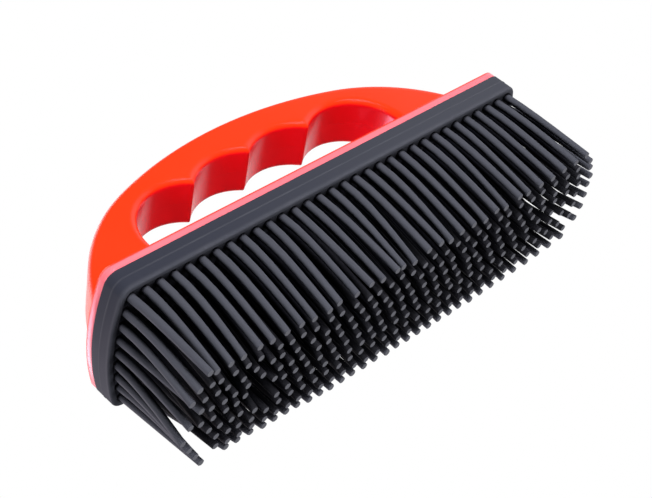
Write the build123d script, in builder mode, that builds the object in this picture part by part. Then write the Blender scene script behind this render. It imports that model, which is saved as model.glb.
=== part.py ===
"""Hand brush: moulded rubber bristles under a closed plastic grip.

The brush stands on its bristle tips. Z = 0 is the plane of the tips, X runs along the
brush, Y runs across it, and the origin is under the middle of the pad.
"""

import os
from math import acos, asin, cos, degrees, radians

from build123d import *

# Bristles: rows across the pad, each spread evenly along X, so that they stand in columns
ROWS = 9
ROW_PITCH = 4.8
OUTER_ROW_STRANDS = 32
INNER_ROW_STRANDS = 34
OUTER_ROW_HALF = 74.4
MIDDLE_ROW_HALF = 77.0
STRAND_ROOT = 1.9
STRAND_DRAFT = 0.18

# Rubber pad: a wall that stands round a floor
PAD_LENGTH = 160.6
PAD_WIDTH = 46.0
PAD_END_BOW = 3.6
PAD_CORNER_RADIUS = 4.0
RIM_BOTTOM = 32.0
RIM_HEIGHT = 6.3
RIM_WALL = 2.0
RIM_CHAMFER = 0.7
FLOOR_RECESS = 0.6
FLOOR_THICKNESS = 2.8

# Handle: base plate, spigot and closed grip
PLATE_THICKNESS = 3.5
PLATE_CHAMFER = 0.3
GRIP_TOP = 81.6
GRIP_THICKNESS = 17.5
GRIP_ROUNDING = 1.5
GRIP_ROOT_ROUNDING = 1.2
CROWN_RADIUS = 134.0
CROWN_HALF = 42.0
SHOULDER_RADIUS = 58.0

# Finger opening: two grooves each side of the middle, with soft edges
GROOVE_ROUNDING = 2.0
GROOVE_LEVEL = 53.4
INNER_GROOVE_X = 10.6
INNER_GROOVE_RADIUS = 17.5
OUTER_GROOVE_X = 33.4
OUTER_GROOVE_RADIUS = 16.2

# Levels that follow from these
FLOOR_BOTTOM = RIM_BOTTOM + FLOOR_RECESS
FLOOR_TOP = FLOOR_BOTTOM + FLOOR_THICKNESS
PLATE_BOTTOM = RIM_BOTTOM + RIM_HEIGHT
PLATE_TOP = PLATE_BOTTOM + PLATE_THICKNESS

os.makedirs("parts", exist_ok=True)


def pad_outline(inset):
    """Plan of the pad, drawn `inset` inside its edge: straight sides and bowed ends."""
    half_length = PAD_LENGTH / 2
    half_width = PAD_WIDTH / 2
    corner_x = half_length - PAD_END_BOW
    with BuildSketch() as outline:
        with BuildLine():
            Line((-corner_x, -half_width), (corner_x, -half_width))
            ThreePointArc((corner_x, -half_width), (half_length, 0), (corner_x, half_width))
            Line((corner_x, half_width), (-corner_x, half_width))
            ThreePointArc((-corner_x, half_width), (-half_length, 0), (-corner_x, -half_width))
        make_face()
        fillet(outline.vertices(), PAD_CORNER_RADIUS)
        if inset:
            offset(amount=-inset)
    return outline.sketch


def opening_section(reach):
    """Half section of the finger opening: `reach` deep, flaring out at both side faces."""
    face = GRIP_THICKNESS / 2
    flat = face - GROOVE_ROUNDING
    flare = reach + GROOVE_ROUNDING
    outside = face + GROOVE_ROUNDING
    with BuildSketch() as section:
        with BuildLine():
            Line((0, 0), (0, reach))
            Line((0, reach), (flat, reach))
            RadiusArc((flat, reach), (face, flare), -GROOVE_ROUNDING)
            Line((face, flare), (outside, flare))
            Line((outside, flare), (outside, 0))
            Line((outside, 0), (0, 0))
        make_face()
        mirror(about=Plane.YZ)
    return section.sketch


# Grip: crown and shoulder arcs in one closed bow, standing on the plate
crown_turn = degrees(asin(CROWN_HALF / CROWN_RADIUS))
crown_end_z = GRIP_TOP - CROWN_RADIUS * (1 - cos(radians(crown_turn)))
shoulder_centre_z = crown_end_z - SHOULDER_RADIUS * cos(radians(crown_turn))
foot_slope = degrees(acos((PLATE_BOTTOM - shoulder_centre_z) / SHOULDER_RADIUS))

with BuildPart() as grip:
    with BuildSketch(Plane.XZ):
        with BuildLine():
            crown = JernArc((0, GRIP_TOP), (1, 0), CROWN_RADIUS, -crown_turn)
            shoulder = JernArc(crown @ 1, crown % 1, SHOULDER_RADIUS, crown_turn - foot_slope)
            Line(shoulder @ 1, (0, PLATE_BOTTOM))
            mirror(about=Plane.YZ)
        make_face()
    extrude(amount=GRIP_THICKNESS / 2, both=True)
    fillet(grip.edges().filter_by(GeomType.CIRCLE), GRIP_ROUNDING)

    # Four finger grooves, each half a turn about an axis that runs across the grip
    inner_groove = (INNER_GROOVE_X, INNER_GROOVE_RADIUS)
    outer_groove = (OUTER_GROOVE_X, OUTER_GROOVE_RADIUS)
    for groove_x, radius in (inner_groove, outer_groove):
        for side in (-1, 1):
            centre = (side * groove_x, 0, GROOVE_LEVEL)
            with BuildSketch(Plane(centre, x_dir=(0, 1, 0), z_dir=(0, 0, -1))):
                add(opening_section(radius))
            revolve(axis=Axis(centre, (0, -1, 0)), revolution_arc=180, mode=Mode.SUBTRACT)

    # Upright ends of the opening, below the outer grooves
    for side in (-1, 1):
        with BuildSketch(Plane((0, 0, PLATE_BOTTOM), x_dir=(0, -side, 0), z_dir=(0, 0, 1))):
            add(opening_section(OUTER_GROOVE_X + OUTER_GROOVE_RADIUS))
        extrude(amount=GROOVE_LEVEL - PLATE_BOTTOM, mode=Mode.SUBTRACT)

# Handle: the grip on its base plate, with a spigot below that fills the pad
with BuildPart() as handle:
    with BuildSketch(Plane.XY.offset(PLATE_BOTTOM)):
        add(pad_outline(0))
    extrude(amount=PLATE_THICKNESS)
    chamfer(handle.faces().sort_by(Axis.Z)[-1].edges(), PLATE_CHAMFER)
    with BuildSketch(Plane.XY.offset(FLOOR_TOP)):
        add(pad_outline(RIM_WALL))
    extrude(amount=PLATE_BOTTOM - FLOOR_TOP)
    add(grip.part)
    foot_x = (shoulder @ 1).X
    roots = handle.edges().filter_by_position(Axis.Z, PLATE_TOP, PLATE_TOP)
    roots = roots.filter_by_position(Axis.X, -foot_x, foot_x)
    roots = roots.filter_by_position(Axis.Y, -GRIP_THICKNESS / 2, GRIP_THICKNESS / 2)
    fillet(roots, GRIP_ROOT_ROUNDING)
handle.part.label = "handle"
export_step(handle.part, "parts/handle.step")

# Pad rim: the rubber wall round the spigot, with its lower edge taken off
with BuildPart() as pad_rim:
    with BuildSketch(Plane.XY.offset(RIM_BOTTOM)):
        add(pad_outline(0))
        add(pad_outline(RIM_WALL), mode=Mode.SUBTRACT)
    extrude(amount=RIM_HEIGHT)
    chamfer(pad_rim.faces().sort_by(Axis.Z)[0].outer_wire().edges(), RIM_CHAMFER)
pad_rim.part.label = "pad_rim"
export_step(pad_rim.part, "parts/pad_rim.step")

# Bristle rows: each a slice of the pad's floor with its own row of strands
slice_width = (PAD_WIDTH - 2 * RIM_WALL) / ROWS
middle_row = (ROWS - 1) / 2
for row in range(ROWS):
    place = row - middle_row
    half_row = MIDDLE_ROW_HALF - (MIDDLE_ROW_HALF - OUTER_ROW_HALF) * (place / middle_row) ** 2
    strands = OUTER_ROW_STRANDS if abs(place) == middle_row else INNER_ROW_STRANDS
    with BuildPart() as bristle_row:
        with BuildSketch(Plane.XY.offset(FLOOR_BOTTOM)):
            add(pad_outline(RIM_WALL))
            with Locations((0, place * slice_width)):
                Rectangle(PAD_LENGTH, slice_width, mode=Mode.INTERSECT)
        extrude(amount=FLOOR_THICKNESS)
        with BuildSketch(Plane.XY.offset(FLOOR_BOTTOM)):
            with Locations((0, place * ROW_PITCH)):
                with GridLocations(2 * half_row / (strands - 1), ROW_PITCH, strands, 1):
                    Rectangle(STRAND_ROOT, STRAND_ROOT)
        extrude(amount=-FLOOR_BOTTOM)
        sides = bristle_row.faces().filter_by_position(Axis.Z, 0, FLOOR_BOTTOM, (False, False))
        draft(sides, Plane.XY.offset(FLOOR_BOTTOM), -STRAND_DRAFT)
    name = f"bristle_row_{row + 1}"
    bristle_row.part.label = name
    export_step(bristle_row.part, f"parts/{name}.step")
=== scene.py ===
import math
import random

import bmesh
import bpy
from mathutils import Euler, Matrix, Vector


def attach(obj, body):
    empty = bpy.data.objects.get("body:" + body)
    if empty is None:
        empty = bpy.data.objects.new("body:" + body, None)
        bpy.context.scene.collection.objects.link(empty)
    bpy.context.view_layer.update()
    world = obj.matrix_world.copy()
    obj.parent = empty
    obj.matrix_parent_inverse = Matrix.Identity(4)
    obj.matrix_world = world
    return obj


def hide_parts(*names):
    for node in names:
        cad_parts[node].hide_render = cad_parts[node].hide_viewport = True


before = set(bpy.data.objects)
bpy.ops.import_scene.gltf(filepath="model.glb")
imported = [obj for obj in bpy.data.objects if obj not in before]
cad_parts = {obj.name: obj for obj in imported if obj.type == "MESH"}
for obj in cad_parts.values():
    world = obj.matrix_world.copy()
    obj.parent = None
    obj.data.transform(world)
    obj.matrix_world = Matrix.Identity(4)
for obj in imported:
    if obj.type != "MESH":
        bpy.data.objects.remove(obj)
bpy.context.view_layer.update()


# Handle: base plate, spigot and closed bow grip, injection moulded in one shot of glossy orange-red
# plastic. The mould halves meet along the middle of the grip and leave a fine line there, and the core
# that forms the finger opening leaves polishing streaks round it. Its colour also carries painted light: a
# deeper red under the finger opening is painted shade, and a pink along the side of the plate is a painted
# reflection.
MM = 0.001
FACE_RED = (0.80, 0.032, 0.004)
FACE_RED_LIGHT = (0.84, 0.038, 0.007)
SHADED_GROOVE_RED = (0.74, 0.002, 0.009)
PLATE_SIDE_SHEEN_PINK = (0.78, 0.150, 0.180)
HIGHLIGHT_TINT = (1.0, 0.68, 0.95, 1.0)
PLASTIC_ROUGHNESS = (0.20, 0.28)
PLASTIC_MOTTLE_SCALE = 30.0
PLASTIC_GRAIN_SCALE = 700.0
PLASTIC_GRAIN_HEIGHT = 0.05
STREAK_SCALE = (40.0, 1400.0, 40.0)
STREAK_HEIGHT = 0.4
PLASTIC_RELIEF = 0.35
PLASTIC_RELIEF_DEPTH = 0.1 * MM
SOFT_EDGE_RADIUS = 1.8 * MM
SOFT_EDGE_SAMPLES = 8
FACET_GAP = 0.002 * MM

# Each mask is given by the value where it starts and the value where it is full
OPENING_TURN = (0.65, 0.15)
OPENING_UNDERSIDE = (0.6, 0.3)
OPENING_HALF = (53.0 * MM, 51.5 * MM)
OPENING_FOOT = (41.6 * MM, 43.0 * MM)
PLATE_SHEEN_EDGE = (41.4 * MM, 41.0 * MM)
PARTING_HALF = (0.22 * MM, 0.08 * MM)


def moulded_surface():
    """Group with a broad mottle and a fine grain, as left by a worked mould."""
    group = bpy.data.node_groups.new("moulded_surface", "ShaderNodeTree")
    for name in ("Mottle Scale", "Grain Scale"):
        group.interface.new_socket(name, in_out="INPUT", socket_type="NodeSocketFloat")
    for name in ("Mottle", "Grain"):
        group.interface.new_socket(name, in_out="OUTPUT", socket_type="NodeSocketFloat")
    nodes, links = group.nodes, group.links
    inputs = nodes.new("NodeGroupInput")
    outputs = nodes.new("NodeGroupOutput")
    place = nodes.new("ShaderNodeTexCoord")
    for name, detail in (("Mottle", 3.0), ("Grain", 2.0)):
        noise = nodes.new("ShaderNodeTexNoise")
        noise.inputs["Detail"].default_value = detail
        links.new(place.outputs["Object"], noise.inputs["Vector"])
        links.new(inputs.outputs[name + " Scale"], noise.inputs["Scale"])
        links.new(noise.outputs["Fac"], outputs.inputs[name])
    return group


surface_group = moulded_surface()


def new_finish(name, mottle_scale, grain_scale):
    """Node material with its shader, and the surface group placed in it at its own scales."""
    material = bpy.data.materials.new(name)
    material.use_nodes = True
    nodes = material.node_tree.nodes
    surface = nodes.new("ShaderNodeGroup")
    surface.node_tree = surface_group
    surface.inputs["Mottle Scale"].default_value = mottle_scale
    surface.inputs["Grain Scale"].default_value = grain_scale
    return material, nodes["Principled BSDF"], surface.outputs


def surface_place(material):
    """Where a point of the piece is, and which way its surface faces, along the brush's own axes."""
    nodes, links = material.node_tree.nodes, material.node_tree.links
    source = nodes.new("ShaderNodeTexCoord")
    where = nodes.new("ShaderNodeSeparateXYZ")
    facing = nodes.new("ShaderNodeSeparateXYZ")
    links.new(source.outputs["Object"], where.inputs["Vector"])
    links.new(source.outputs["Normal"], facing.inputs["Vector"])
    return where.outputs, facing.outputs


def ramp_between(owner, source, low, high, least=0.0, most=1.0):
    """Value that goes smoothly from `least` at `low` to `most` at `high`."""
    node = owner.node_tree.nodes.new("ShaderNodeMapRange")
    node.interpolation_type = "SMOOTHSTEP"
    node.inputs["From Min"].default_value = low
    node.inputs["From Max"].default_value = high
    node.inputs["To Min"].default_value = least
    node.inputs["To Max"].default_value = most
    owner.node_tree.links.new(source, node.inputs["Value"])
    return node.outputs["Result"]


def combine(owner, operation, first, second=0.0):
    """Maths node on two sockets, or on a socket and a number."""
    node = owner.node_tree.nodes.new("ShaderNodeMath")
    node.operation = operation
    for slot, value in enumerate((first, second)):
        if isinstance(value, (int, float)):
            node.inputs[slot].default_value = value
        else:
            owner.node_tree.links.new(value, node.inputs[slot])
    return node.outputs["Value"]


def overlap(owner, mask, *others):
    """Product of several masks, of which the last may be a number."""
    for other in others:
        mask = combine(owner, "MULTIPLY", mask, other)
    return mask


def tint(material, share, first, second):
    """Mix of two colours, each a socket or a plain colour, by `share`."""
    node = material.node_tree.nodes.new("ShaderNodeMix")
    node.data_type = "RGBA"
    material.node_tree.links.new(share, node.inputs["Factor"])
    for slot, value in (("A", first), ("B", second)):
        socket = next(s for s in node.inputs if s.name == slot and s.type == "RGBA")
        if isinstance(value, tuple):
            socket.default_value = (*value, 1.0)
        else:
            material.node_tree.links.new(value, socket)
    return next(s for s in node.outputs if s.type == "RGBA")


def uneven_gloss(material, source, smoothest, roughest):
    """Roughness that follows `source`, from `smoothest` at 0 to `roughest` at 1."""
    nodes, links = material.node_tree.nodes, material.node_tree.links
    node = nodes.new("ShaderNodeMapRange")
    node.inputs["To Min"].default_value = smoothest
    node.inputs["To Max"].default_value = roughest
    links.new(source, node.inputs["Value"])
    links.new(node.outputs["Result"], nodes["Principled BSDF"].inputs["Roughness"])


def fine_relief(material, height, strength, depth):
    """Bump on the shader's normal, where a `height` of 1 stands `depth` proud at full strength."""
    nodes, links = material.node_tree.nodes, material.node_tree.links
    bump = nodes.new("ShaderNodeBump")
    bump.inputs["Strength"].default_value = strength
    bump.inputs["Distance"].default_value = depth
    links.new(height, bump.inputs["Height"])
    links.new(bump.outputs["Normal"], nodes["Principled BSDF"].inputs["Normal"])
    return bump


def even_shading(piece):
    """Normals weighted by the size of the faces, so that broad faces stay flat up to their edges."""
    shading = piece.modifiers.new("even_shading", "WEIGHTED_NORMAL")
    shading.keep_sharp = True


plastic, shader, surface = new_finish("handle_plastic", PLASTIC_MOTTLE_SCALE, PLASTIC_GRAIN_SCALE)
nodes, links = plastic.node_tree.nodes, plastic.node_tree.links
where, facing = surface_place(plastic)
across = ramp_between(plastic, combine(plastic, "ABSOLUTE", facing["Y"]), *OPENING_TURN)
under_bow = ramp_between(plastic, facing["Z"], *OPENING_UNDERSIDE)
within = ramp_between(plastic, combine(plastic, "ABSOLUTE", where["X"]), *OPENING_HALF)
above_plate = ramp_between(plastic, where["Z"], *OPENING_FOOT)
opening = overlap(plastic, across, within, above_plate, under_bow)
plate_side_sheen = ramp_between(plastic, where["Z"], *PLATE_SHEEN_EDGE)
colour = tint(plastic, surface["Mottle"], FACE_RED, FACE_RED_LIGHT)
# Painted shade: the underside of the finger opening is painted a deeper red, where little light reaches it
colour = tint(plastic, opening, colour, SHADED_GROOVE_RED)
# Painted reflection: the side of the plate is painted pink, standing in for light reflected off its glossy
# face
colour = tint(plastic, plate_side_sheen, colour, PLATE_SIDE_SHEEN_PINK)
links.new(colour, shader.inputs["Base Color"])
shader.inputs["Specular Tint"].default_value = HIGHLIGHT_TINT
uneven_gloss(plastic, surface["Mottle"], *PLASTIC_ROUGHNESS)

streak_place = nodes.new("ShaderNodeTexCoord")
lay = nodes.new("ShaderNodeMapping")
lay.inputs["Scale"].default_value = STREAK_SCALE
streaks = nodes.new("ShaderNodeTexNoise")
streaks.inputs["Scale"].default_value = 1.0
links.new(streak_place.outputs["Object"], lay.inputs["Vector"])
links.new(lay.outputs["Vector"], streaks.inputs["Vector"])
polished = overlap(plastic, streaks.outputs["Fac"], opening, STREAK_HEIGHT)
near_middle = ramp_between(plastic, combine(plastic, "ABSOLUTE", where["Y"]), *PARTING_HALF)
parting = overlap(plastic, near_middle, across)
grain = overlap(plastic, surface["Grain"], PLASTIC_GRAIN_HEIGHT)
height = combine(plastic, "ADD", combine(plastic, "ADD", parting, grain), polished)
bump = fine_relief(plastic, height, PLASTIC_RELIEF, PLASTIC_RELIEF_DEPTH)
soft_edges = nodes.new("ShaderNodeBevel")
soft_edges.samples = SOFT_EDGE_SAMPLES
soft_edges.inputs["Radius"].default_value = SOFT_EDGE_RADIUS
links.new(soft_edges.outputs["Normal"], bump.inputs["Normal"])

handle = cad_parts["handle"]
handle.data.materials.clear()
handle.data.materials.append(plastic)
handle.data.shade_smooth()
weld = handle.modifiers.new("joined_facets", "WELD")
weld.merge_threshold = FACET_GAP
even_shading(handle)


# Pad: a rubber wall round a floor, moulded in charcoal rubber in one piece with the bristles and bonded to
# the spigot. The wall laps over the lower edge of the plate, a fine mould ridge runs round its middle, and
# its lower lip is rounded. The ridge and the lip are painted lighter as a painted highlight where they
# catch the light, and the wall is painted paler towards its right end as painted light.
PAD_LENGTH = 160.6 * MM
PAD_WIDTH = 46.0 * MM
END_BOW = 3.6 * MM
CORNER_RADIUS = 4.0 * MM
CORNER_STEPS = 8
BOW_STEPS = 10
INNER_FACE = 1.9 * MM
INNER_CAP = 36.5 * MM
PLATE_UNDERSIDE = 38.28 * MM
LAP_GAP = 0.02 * MM
LAP_TOP = 39.16 * MM
LAP_EDGE = 0.06 * MM
WALL_PROUD = 0.1 * MM
RIDGE_LEVEL = 35.9 * MM
RIDGE_WIDTH = 0.5 * MM
RIDGE_CREST = 0.2 * MM
RIDGE_PROUD = 0.2 * MM
WALL_THICKNESS = 2.0 * MM
WALL_FOOT = 32.0 * MM
LIP_RADIUS = 0.7 * MM
FLOOR_RECESS = 0.6 * MM
ROUND_STEPS = 4
MERGE_DISTANCE = 0.001 * MM

WALL_RUBBER = (0.027, 0.029, 0.041)
WALL_RUBBER_LIT_END = (0.044, 0.046, 0.058)
LIT_EDGE_RUBBER = (0.058, 0.059, 0.072)
# Painted sheen: the bristles are painted lighter than the wall, which is the same rubber
BRISTLE_SHEEN_RUBBER = (0.055, 0.057, 0.071)
INNER_SHADE_RUBBER = (0.016, 0.016, 0.020)
OCCLUDED_SHADE_RUBBER = (0.004, 0.004, 0.006)
LIT_TIP_GREY = (0.125, 0.126, 0.145)
RUBBER_ROUGHNESS = (0.60, 0.75)
RUBBER_SPECULAR = 0.08
RUBBER_MOTTLE_SCALE = 90.0
RUBBER_GRAIN_SCALE = 2200.0
RUBBER_RELIEF = 0.25
RUBBER_RELIEF_DEPTH = 0.06 * MM
OCCLUSION_SHADE_REACH = 40.0 * MM
OCCLUSION_SHADE_SAMPLES = 6

# Masks of the rubber, from the value where each starts to the value where it is full
PAINTED_LIGHT_ALONG = (-80.0 * MM, 80.0 * MM)
RIDGE_FROM_BELOW = (35.5 * MM, 35.8 * MM)
RIDGE_FROM_ABOVE = (36.4 * MM, 36.0 * MM)
LIP_HIGHLIGHT = (33.6 * MM, 32.5 * MM)
BRISTLE_START = (32.5 * MM, 31.5 * MM)
TIP_LEVEL = (6.0 * MM, 4.0 * MM)
TIP_FACING = (-0.75, -0.95)
OPEN_TO_LIGHT = (0.28, 0.66)


def wall_profile():
    """Section of the wall as insets and levels: under the plate, over its edge, down past the mould
    ridge, round the lip and up inside it to the floor."""
    lap_middle = -(LAP_GAP + WALL_PROUD) / 2
    profile = [(INNER_FACE, INNER_CAP), (INNER_FACE, PLATE_UNDERSIDE), (-LAP_GAP, PLATE_UNDERSIDE)]
    profile += [(-LAP_GAP, LAP_TOP - LAP_EDGE), (lap_middle, LAP_TOP), (-WALL_PROUD, LAP_TOP - LAP_EDGE)]
    for proud, rise in ((WALL_PROUD, RIDGE_WIDTH), (RIDGE_PROUD, RIDGE_CREST),
                        (RIDGE_PROUD, -RIDGE_CREST), (WALL_PROUD, -RIDGE_WIDTH)):
        profile.append((-proud, RIDGE_LEVEL + rise / 2))
    turns = [math.pi / 2 * step / ROUND_STEPS for step in range(ROUND_STEPS + 1)]
    for turn in turns:
        inset = LIP_RADIUS * (1 - math.cos(turn)) - WALL_PROUD
        profile.append((inset, WALL_FOOT + LIP_RADIUS * (1 - math.sin(turn))))
    for turn in turns:
        inset = WALL_THICKNESS - FLOOR_RECESS * (1 - math.sin(turn))
        profile.append((inset, WALL_FOOT + FLOOR_RECESS * (1 - math.cos(turn))))
    return profile


def pad_ring(mesh, inset, level):
    """Closed plan of the pad, `inset` inside its edge: half a side, a corner and half a bow, mirrored
    to the other three quarters."""
    bow_radius = (END_BOW ** 2 + (PAD_WIDTH / 2) ** 2) / (2 * END_BOW)
    bow_x = PAD_LENGTH / 2 - bow_radius
    corner_y = CORNER_RADIUS - PAD_WIDTH / 2
    corner_x = bow_x + math.sqrt((bow_radius - CORNER_RADIUS) ** 2 - corner_y ** 2)
    turn = math.atan2(corner_y, corner_x - bow_x)
    start = mesh.verts.new((0, inset - PAD_WIDTH / 2, level))
    end = mesh.verts.new((corner_x, inset - PAD_WIDTH / 2, level))
    ring = [start, end, mesh.edges.new((start, end))]
    for centre, angle, steps in (((corner_x, corner_y, level), math.pi / 2 + turn, CORNER_STEPS),
                                 ((bow_x, 0, level), -turn, BOW_STEPS)):
        known = set(mesh.verts) | set(mesh.edges)
        last = bmesh.ops.spin(mesh, geom=[end], cent=centre, axis=(0, 0, 1), angle=angle, steps=steps,
                              use_duplicate=False)["geom_last"]
        end = next(v for v in last if isinstance(v, bmesh.types.BMVert))
        ring += [g for g in list(mesh.verts) + list(mesh.edges) if g not in known]
    for axis in ("X", "Y"):
        known = set(mesh.verts) | set(mesh.edges)
        bmesh.ops.mirror(mesh, geom=ring, axis=axis, merge_dist=MERGE_DISTANCE)
        ring += [g for g in list(mesh.verts) + list(mesh.edges) if g not in known]
        ring = [g for g in ring if g.is_valid]
    return [g for g in ring if isinstance(g, bmesh.types.BMEdge)]


def placed(name, mesh, material):
    """Object at the origin, made from a mesh with its place in it."""
    data = bpy.data.meshes.new(name)
    mesh.to_mesh(data)
    mesh.free()
    data.materials.append(material)
    piece = bpy.data.objects.new(name, data)
    bpy.context.scene.collection.objects.link(piece)
    return piece


def rubber_piece(name, mesh):
    """Smooth piece of the pad with its faces outwards, which moves with the brush."""
    bmesh.ops.recalc_face_normals(mesh, faces=mesh.faces)
    for face in mesh.faces:
        face.smooth = True
    piece = placed(name, mesh, rubber)
    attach(piece, "root")
    return piece


rubber, shader, surface = new_finish("pad_rubber", RUBBER_MOTTLE_SCALE, RUBBER_GRAIN_SCALE)
nodes, links = rubber.node_tree.nodes, rubber.node_tree.links
where, facing = surface_place(rubber)
# Painted light: the wall is painted paler towards its right end, where more light falls on it
pale = ramp_between(rubber, where["X"], *PAINTED_LIGHT_ALONG)
# Painted highlight: the mould ridge and the lower lip are painted lighter, unevenly, where they catch the
# light
ridge = overlap(rubber, ramp_between(rubber, where["Z"], *RIDGE_FROM_BELOW),
                ramp_between(rubber, where["Z"], *RIDGE_FROM_ABOVE))
lip = ramp_between(rubber, where["Z"], *LIP_HIGHLIGHT)
painted_highlight = overlap(rubber, combine(rubber, "MAXIMUM", ridge, lip), surface["Mottle"])
below_lip = ramp_between(rubber, where["Z"], *BRISTLE_START)
tips = overlap(rubber, ramp_between(rubber, facing["Z"], *TIP_FACING),
               ramp_between(rubber, where["Z"], *TIP_LEVEL))
# Painted shade: bristles inside the field are painted darker, where the outer bristles shadow them
inner = nodes.new("ShaderNodeAttribute")
inner.attribute_name = "inner_shade"
# Painted shade: the rubber is painted near black where other parts close round it, by an ambient occlusion
# measure
occlusion_shade = nodes.new("ShaderNodeAmbientOcclusion")
occlusion_shade.samples = OCCLUSION_SHADE_SAMPLES
occlusion_shade.inputs["Distance"].default_value = OCCLUSION_SHADE_REACH
openness = ramp_between(rubber, occlusion_shade.outputs["AO"], *OPEN_TO_LIGHT)
colour = tint(rubber, pale, WALL_RUBBER, WALL_RUBBER_LIT_END)
colour = tint(rubber, painted_highlight, colour, LIT_EDGE_RUBBER)
bristle_colour = tint(rubber, inner.outputs["Fac"], BRISTLE_SHEEN_RUBBER, INNER_SHADE_RUBBER)
colour = tint(rubber, below_lip, colour, bristle_colour)
colour = tint(rubber, openness, OCCLUDED_SHADE_RUBBER, colour)
# Painted light: the flat tip faces are painted paler, where they face the light from below
colour = tint(rubber, tips, colour, LIT_TIP_GREY)
links.new(colour, shader.inputs["Base Color"])
shader.inputs["Specular IOR Level"].default_value = RUBBER_SPECULAR
uneven_gloss(rubber, surface["Mottle"], *RUBBER_ROUGHNESS)
fine_relief(rubber, surface["Grain"], RUBBER_RELIEF, RUBBER_RELIEF_DEPTH)

pad_mesh = bmesh.new()
rings = [pad_ring(pad_mesh, inset, level) for inset, level in wall_profile()]
for upper, lower in zip(rings, rings[1:]):
    bmesh.ops.bridge_loops(pad_mesh, edges=upper + lower)
for open_end in (rings[0], rings[-1]):
    bmesh.ops.edgeloop_fill(pad_mesh, edges=open_end)
pad = rubber_piece("pad_wall_and_floor", pad_mesh)
even_shading(pad)
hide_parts("pad_rim")


# Bristles: solid rubber fingers in nine rows, moulded with the floor. Each is round, a little
# thicker at its root and cut flat at its tip. Use has set the field: its far left corner is drawn
# in, its right end fans out, and near the left end the tips part round a small gap.
ROWS = 9
LAST_ROW = ROWS - 1
MIDDLE_ROW = LAST_ROW / 2
ROW_PITCH = 4.8 * MM
OUTER_ROW_COUNT = 32
INNER_ROW_COUNT = 34
OUTER_ROW_HALF = 74.4 * MM
MIDDLE_ROW_HALF = 77.0 * MM
FAR_ROW_TIP_PITCH = 4.57 * MM
SIDES = 8
ROOT_LEVEL = 33.0 * MM
ROOT_RADIUS = 1.5 * MM
NECK_RADIUS = 1.36 * MM
TIP_RADIUS = 1.09 * MM
TIP_EDGE = 0.06 * MM
RING_SHARES = (0.04, 0.2, 0.38, 0.58, 0.79, 0.997, 1.0)
ROOT_BEND_POWER = 4
BEND_REACH = 1 - 1 / ROOT_BEND_POWER

# Lean of the tips along the brush: a set of its own in each row, and what both ends add to it
ROW_SET = [lean * MM for lean in (-0.6, -0.9, -1.6, 1.1, -1.4, 1.2, 2.0, -0.2, 0.1)]
LEFT_START = 15.0 * MM
LEFT_SPAN = 45.0 * MM
LEFT_SPREAD = 2.5 * MM
LEFT_FAR_DRAW = 4.2 * MM
FAR_DRAW_START = 0.6
FAR_DRAW_SPAN = 0.3
CORNER_START = 60.0 * MM
CORNER_SPAN = 17.0 * MM
CORNER_DRAW = 2.0 * MM
FAN_START = 27.0 * MM
FAN_SPAN = 52.0 * MM
FAN_REACH = 10.7 * MM
FAN_NEAR_LOSS = 7.3 * MM
FAN_NEAR_POWER = 3

# Slant of the tips across the brush, and what the ends and the far rows lose of it
SLANT = 4.2 * MM
SLANT_FAR_LOSS = 1.8 * MM
SLANT_LAST_ROW_LOSS = 1.2 * MM
LAST_ROW_POWER = 16
SLANT_LEFT_LOSS = 2.4 * MM
SLANT_CORNER_LOSS = 1.6 * MM
SLANT_FAN_LOSS = 3.3 * MM
SLANT_FAN_NEAR = 1.2 * MM
SLANT_NEAR_POWER = 4

# Small gap in the field, and the clump of end bristles at its far left corner
GAP_PLACE = Vector((-54.0, 2.9, 0)) * MM
GAP_REACH = 7.5 * MM
GAP_PUSH = 3.5 * MM
CLUMP_ROW = 5
CLUMP_START = Vector((-80.8, 4.4, 0)) * MM
CLUMP_STEP = Vector((2.5, 4.3, 0)) * MM

# Unevenness of single bristles, and the slope at which they leave the floor
SWAY_SEED = 23
sway = random.Random(SWAY_SEED)
LOOSE_LEAST = 0.06 * MM
LOOSE_NEAR = 0.5 * MM
TIP_RISE_LEAST = 0.1 * MM
TIP_RISE_MOST = 0.6 * MM
ROOT_SWING = 0.02
FAN_SWING = 0.06
SWING_SCATTER = 0.025
ROOT_LIFT = 0.06
FAN_LIFT = 0.22
LIFT_SCATTER = 0.02


def eased(share):
    """Smooth step from 0 to 1."""
    share = min(1.0, max(0.0, share))
    return share * share * (3 - 2 * share)


def fanned(x):
    """How far the fan at the right end has opened."""
    return max(0.0, (x - FAN_START) / FAN_SPAN) ** 2


def settled_lean(row, x):
    """Set that the whole field has taken, at the tip of the bristle at `x`."""
    far = row / LAST_ROW
    near = 1 - far
    left = eased((-x - LEFT_START) / LEFT_SPAN)
    corner = max(0.0, (-x - CORNER_START) / CORNER_SPAN) ** 2
    right = fanned(x)
    far_draw = LEFT_FAR_DRAW * eased((far - FAR_DRAW_START) / FAR_DRAW_SPAN)
    lean_x = ROW_SET[row] * (1 - right)
    lean_x += (far_draw - LEFT_SPREAD) * left + CORNER_DRAW * corner
    lean_x += (FAN_REACH - FAN_NEAR_LOSS * near ** FAN_NEAR_POWER) * right
    lean_y = SLANT - SLANT_FAR_LOSS * far - SLANT_LAST_ROW_LOSS * far ** LAST_ROW_POWER
    lean_y -= SLANT_LEFT_LOSS * left + SLANT_CORNER_LOSS * corner
    lean_y -= (SLANT_FAN_LOSS - SLANT_FAN_NEAR * near ** SLANT_NEAR_POWER) * right
    return Vector((lean_x, lean_y, 0))


def parted(tip):
    """Push on a tip beside the small gap in the field."""
    away = tip - GAP_PLACE
    return away.normalized() * GAP_PUSH * math.exp(-(away.length / GAP_REACH) ** 2)


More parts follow.
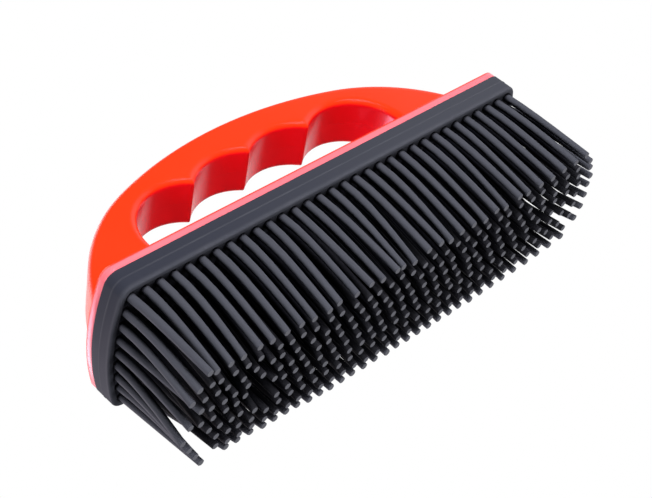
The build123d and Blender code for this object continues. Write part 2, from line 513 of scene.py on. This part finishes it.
def add_bristle(mesh, root, tilt, bend, flick, painted_shade):
    """One bristle: rings drawn out from its root circle along a line that starts at `tilt`, turns by
    `bend` near its root and by `flick` near its tip. The last argument is 1 for a bristle inside the
    field, which is painted darker as painted shade where the others shadow it."""
    inner_shade = mesh.verts.layers.float["inner_shade"]
    turned = Matrix.Rotation(sway.uniform(0, 2 * math.pi / SIDES), 4, "Z")
    ring = bmesh.ops.create_circle(mesh, cap_ends=True, segments=SIDES, radius=ROOT_RADIUS,
                                   matrix=Matrix.Translation(root) @ turned)["verts"]
    edges = list(ring[0].link_faces[0].edges)
    last_place, last_radius = root, ROOT_RADIUS
    reach = (tilt + BEND_REACH * bend + flick).length
    shortening = root.z * (1 - 1 / math.sqrt(1 + reach ** 2))
    rise = sway.uniform(TIP_RISE_LEAST, TIP_RISE_MOST) + shortening
    for share in RING_SHARES:
        edge_loss = TIP_EDGE if share == 1.0 else 0.0
        radius = NECK_RADIUS - (NECK_RADIUS - TIP_RADIUS) * share - edge_loss
        bent = share - (1 - (1 - share) ** ROOT_BEND_POWER) / ROOT_BEND_POWER
        drift = tilt * share + bend * bent + flick * share ** 2
        place = root + drift * root.z - Vector((0, 0, share * (root.z - rise)))
        grown = bmesh.ops.extrude_edge_only(mesh, edges=edges)["geom"]
        ring = [g for g in grown if isinstance(g, bmesh.types.BMVert)]
        for vert in ring:
            vert[inner_shade] = painted_shade
        edges = [g for g in grown if isinstance(g, bmesh.types.BMEdge) and all(v in ring for v in g.verts)]
        bmesh.ops.translate(mesh, verts=ring, vec=place - last_place)
        size = radius / last_radius
        bmesh.ops.scale(mesh, verts=ring, vec=(size, size, 1), space=Matrix.Translation(-place))
        last_place, last_radius = place, radius
    bmesh.ops.edgeloop_fill(mesh, edges=edges)
    for edge in edges:
        edge.smooth = False


for row in range(ROWS):
    row_place = row - MIDDLE_ROW
    row_half = MIDDLE_ROW_HALF - (MIDDLE_ROW_HALF - OUTER_ROW_HALF) * (row_place / MIDDLE_ROW) ** 2
    outer_row = row in (0, LAST_ROW)
    count = OUTER_ROW_COUNT if outer_row else INNER_ROW_COUNT
    root_pitch = 2 * row_half / (count - 1)
    tip_pitch = FAR_ROW_TIP_PITCH if row == LAST_ROW else root_pitch
    row_mesh = bmesh.new()
    row_mesh.verts.layers.float.new("inner_shade")
    for strand in range(count):
        strand_place = strand - (count - 1) / 2
        root = Vector((strand_place * root_pitch, row_place * ROW_PITCH, ROOT_LEVEL))
        foot = Vector((root.x, root.y, 0))
        tip = Vector((strand_place * tip_pitch, root.y, 0))
        fan = fanned(tip.x)
        tip += settled_lean(row, tip.x)
        loose = LOOSE_LEAST + LOOSE_NEAR * (1 - row / LAST_ROW) ** 2 * (1 - fan) ** 3
        tip += Vector((sway.gauss(0, loose), sway.gauss(0, loose), 0))
        if row >= CLUMP_ROW and strand == 0:
            tip = CLUMP_START + CLUMP_STEP * (row - CLUMP_ROW)
        slope = 0.0 if row == 0 else fan
        swing = ROOT_SWING + FAN_SWING * slope
        lift = ROOT_LIFT + FAN_LIFT * slope
        tilt = Vector((sway.gauss(swing, SWING_SCATTER), sway.gauss(-lift, LIFT_SCATTER), 0))
        bend = ((tip - foot) / ROOT_LEVEL - tilt) / BEND_REACH
        flick = parted(tip) / ROOT_LEVEL
        # Bristles inside the field take the painted shade
        outside = outer_row or strand in (0, count - 1)
        add_bristle(row_mesh, root, tilt, bend, flick, 0.0 if outside else 1.0)
    bristles = rubber_piece(f"bristles_{row + 1}", row_mesh)
    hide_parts(f"bristle_row_{row + 1}")


# Floor: a sheet of pale paper under the bristle tips. It is seen from above only and fades out
# with distance, so that the white studio is behind the brush and below the tips.
PAPER_WHITE = (0.86, 0.86, 0.85, 1.0)
PAPER_ROUGHNESS = 0.9
FLOOR_RADIUS = 4.0
FLOOR_SIDES = 64
FLOOR_FADE = (0.25, 0.9)
paper = bpy.data.materials.new("floor_paper")
paper.use_nodes = True
nodes, links = paper.node_tree.nodes, paper.node_tree.links
shader = nodes["Principled BSDF"]
shader.inputs["Base Color"].default_value = PAPER_WHITE
shader.inputs["Roughness"].default_value = PAPER_ROUGHNESS
side = nodes.new("ShaderNodeNewGeometry")
floor_place = nodes.new("ShaderNodeTexCoord")
spread = nodes.new("ShaderNodeVectorMath")
spread.operation = "LENGTH"
links.new(floor_place.outputs["Object"], spread.inputs[0])
fade = ramp_between(paper, spread.outputs["Value"], *FLOOR_FADE)
unseen = combine(paper, "MAXIMUM", side.outputs["Backfacing"], fade)
clear = nodes.new("ShaderNodeBsdfTransparent")
one_sided = nodes.new("ShaderNodeMixShader")
links.new(unseen, one_sided.inputs["Fac"])
links.new(shader.outputs["BSDF"], one_sided.inputs[1])
links.new(clear.outputs["BSDF"], one_sided.inputs[2])
links.new(one_sided.outputs["Shader"], nodes["Material Output"].inputs["Surface"])

floor_mesh = bmesh.new()
bmesh.ops.create_circle(floor_mesh, cap_ends=True, segments=FLOOR_SIDES, radius=FLOOR_RADIUS)
for face in floor_mesh.faces:
    if face.normal.z < 0:
        face.normal_flip()
floor = placed("floor", floor_mesh, paper)
floor.visible_diffuse = False
floor.visible_glossy = False
floor.visible_transmission = False
floor.visible_shadow = False


# Studio: white walls all round as the camera sees them. Towards the brush they are bright behind
# and above, dim in front and below, and one more bright window faces its right end.
BEHIND = (-0.2, 0.5)
ABOVE = (-0.25, 0.3)
WINDOW = (0.58, 0.75)
FRONT_LEVEL = 0.06
BELOW_LEVEL = 0.12
WINDOW_LEVEL = 0.9
studio = bpy.data.worlds.new("studio")
bpy.context.scene.world = studio
studio.use_nodes = True
nodes, links = studio.node_tree.nodes, studio.node_tree.links
heading = nodes.new("ShaderNodeTexCoord")
direction = nodes.new("ShaderNodeSeparateXYZ")
links.new(heading.outputs["Generated"], direction.inputs["Vector"])
behind = ramp_between(studio, direction.outputs["Y"], *BEHIND, least=FRONT_LEVEL)
above = ramp_between(studio, direction.outputs["Z"], *ABOVE, least=BELOW_LEVEL)
window = ramp_between(studio, direction.outputs["X"], *WINDOW, most=WINDOW_LEVEL)
surround = combine(studio, "MAXIMUM", overlap(studio, behind, above), window)
path = nodes.new("ShaderNodeLightPath")
level = combine(studio, "MAXIMUM", path.outputs["Is Camera Ray"], surround)
nodes["Background"].inputs["Color"].default_value = (1.0, 1.0, 1.0, 1.0)
links.new(level, nodes["Background"].inputs["Strength"])


# Lights: five soft boxes. The key and the left box light the near side from the front, one from
# below picks out the bristle tips, and two more from above and behind light the bow.
BRUSH_MIDDLE = (0, 0, 0.04)
LEFT_END = (-0.08, 0, 0.03)
TIP_MIDDLE = (0, 0, 0.0)
BACK_LIGHT_PINK = (1.0, 0.86, 0.96)


def softbox(name, place, target, width, height, power):
    """Area light at `place` that faces `target`."""
    lamp = bpy.data.lights.new(name, "AREA")
    lamp.shape = "RECTANGLE"
    lamp.size = width
    lamp.size_y = height
    lamp.energy = power
    light = bpy.data.objects.new(name, lamp)
    light.location = place
    light.rotation_euler = (Vector(target) - Vector(place)).to_track_quat("-Z", "Y").to_euler()
    bpy.context.scene.collection.objects.link(light)
    return light


key = softbox("key", (0.08, -0.92, -0.05), BRUSH_MIDDLE, width=0.45, height=0.45, power=13.5)
key.visible_glossy = False
softbox("tip_light", (0.10, -0.15, -1.2), TIP_MIDDLE, width=0.25, height=0.25, power=9.5)
back = softbox("back_light", (-0.65, 0.75, 0.5), BRUSH_MIDDLE, width=0.7, height=0.5, power=7.0)
back.data.color = BACK_LIGHT_PINK
left = softbox("left", (-0.9, -0.2, -0.1), LEFT_END, width=0.4, height=0.4, power=5.0)
left.visible_glossy = False
softbox("top", (0.0, 0.1, 1.0), BRUSH_MIDDLE, width=0.8, height=0.8, power=5.0)


# Camera: low and to the left, looking up along the brush, and rolled so that the brush lies
# across the picture from the lower left to the upper right.
SENSOR_WIDTH = 36.0
LENS = 85.93
NEAREST = 0.01
FURTHEST = 20.0
CAMERA_PLACE = (-0.26375, -0.30478, -0.17587)
CAMERA_TURN = (128.745, 43.395, -11.606)
camera_data = bpy.data.cameras.new("camera")
camera_data.sensor_width = SENSOR_WIDTH
camera_data.lens = LENS
camera_data.clip_start = NEAREST
camera_data.clip_end = FURTHEST
camera = bpy.data.objects.new("camera", camera_data)
camera.location = CAMERA_PLACE
camera.rotation_euler = Euler([math.radians(turn) for turn in CAMERA_TURN], "XYZ")
bpy.context.scene.collection.objects.link(camera)
bpy.context.scene.camera = camera
bpy.context.scene.view_settings.view_transform = "Standard"
